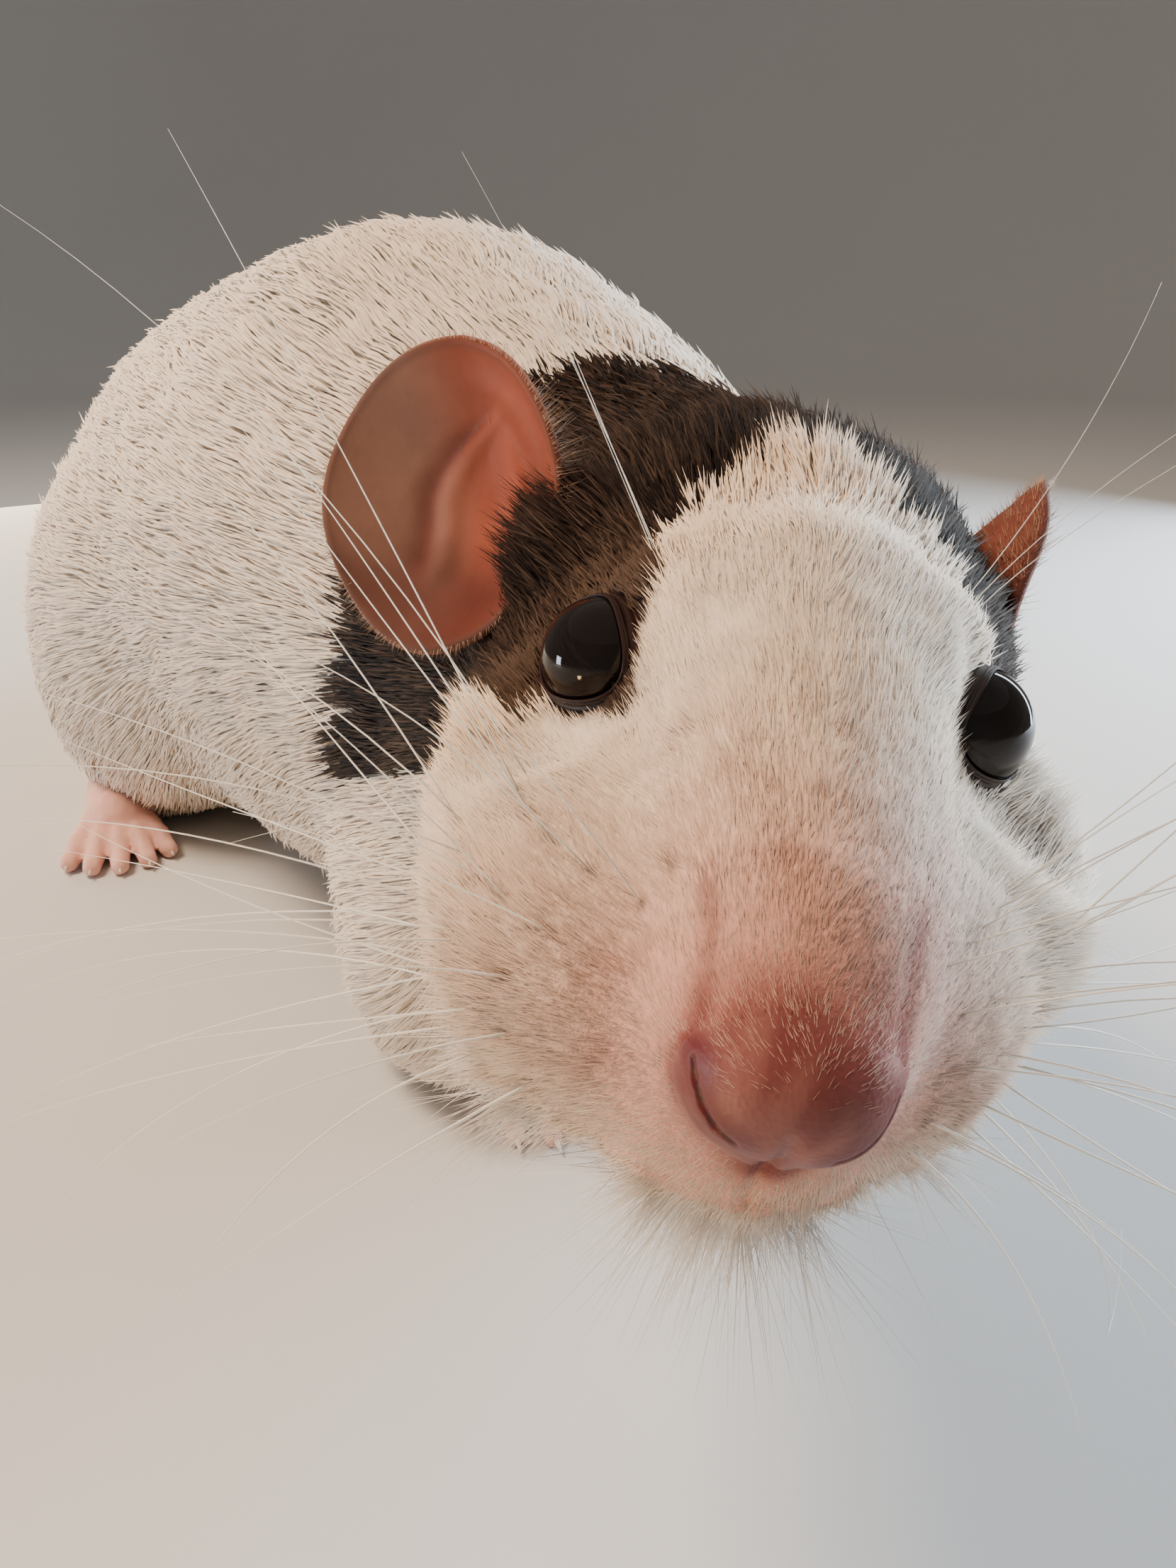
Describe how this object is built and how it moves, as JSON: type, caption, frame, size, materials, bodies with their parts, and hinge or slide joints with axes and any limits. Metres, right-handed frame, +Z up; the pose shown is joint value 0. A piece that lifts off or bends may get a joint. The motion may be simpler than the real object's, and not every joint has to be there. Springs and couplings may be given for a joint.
{
  "type": "hooded rat",
  "caption": "Life-size still model of a hooded pet rat crouching with its head turned to its right, dark hood, white face and back.",
  "frame": {"origin": "on the floor, under the middle of the whole model's box", "axes": "+Z up, -Y the way the body faces, +X to the rat's left"},
  "size_m": [0.166, 0.2828, 0.0782],
  "materials": {
    "fur_dark": "dense short coat",
    "fur_white": "dense short coat",
    "bare_skin": "thin bare skin",
    "ear_skin": "thin bare skin",
    "nose_skin": "moist bare skin",
    "eye": "wet gloss",
    "whisker": "fine stiff hair",
    "claw": "horn"
  },
  "bodies": {
    "root": {"ear_left": "ear_skin", "ear_right": "ear_skin", "eye_left": "eye", "eye_right": "eye", "foreleg_left": "fur_white", "foreleg_right": "fur_white", "forepaw_left": "bare_skin", "forepaw_right": "bare_skin", "head": "fur_dark", "hindfoot_left": "bare_skin", "hindfoot_right": "bare_skin", "jaw": "fur_white", "muzzle": "fur_white", "neck": "fur_dark", "nose": "nose_skin", "tail_1": "bare_skin", "tail_2": "bare_skin", "tail_3": "bare_skin", "tail_4": "bare_skin", "thigh_left": "fur_white", "thigh_right": "fur_white", "torso": "fur_white"}
  },
  "joints": []
}
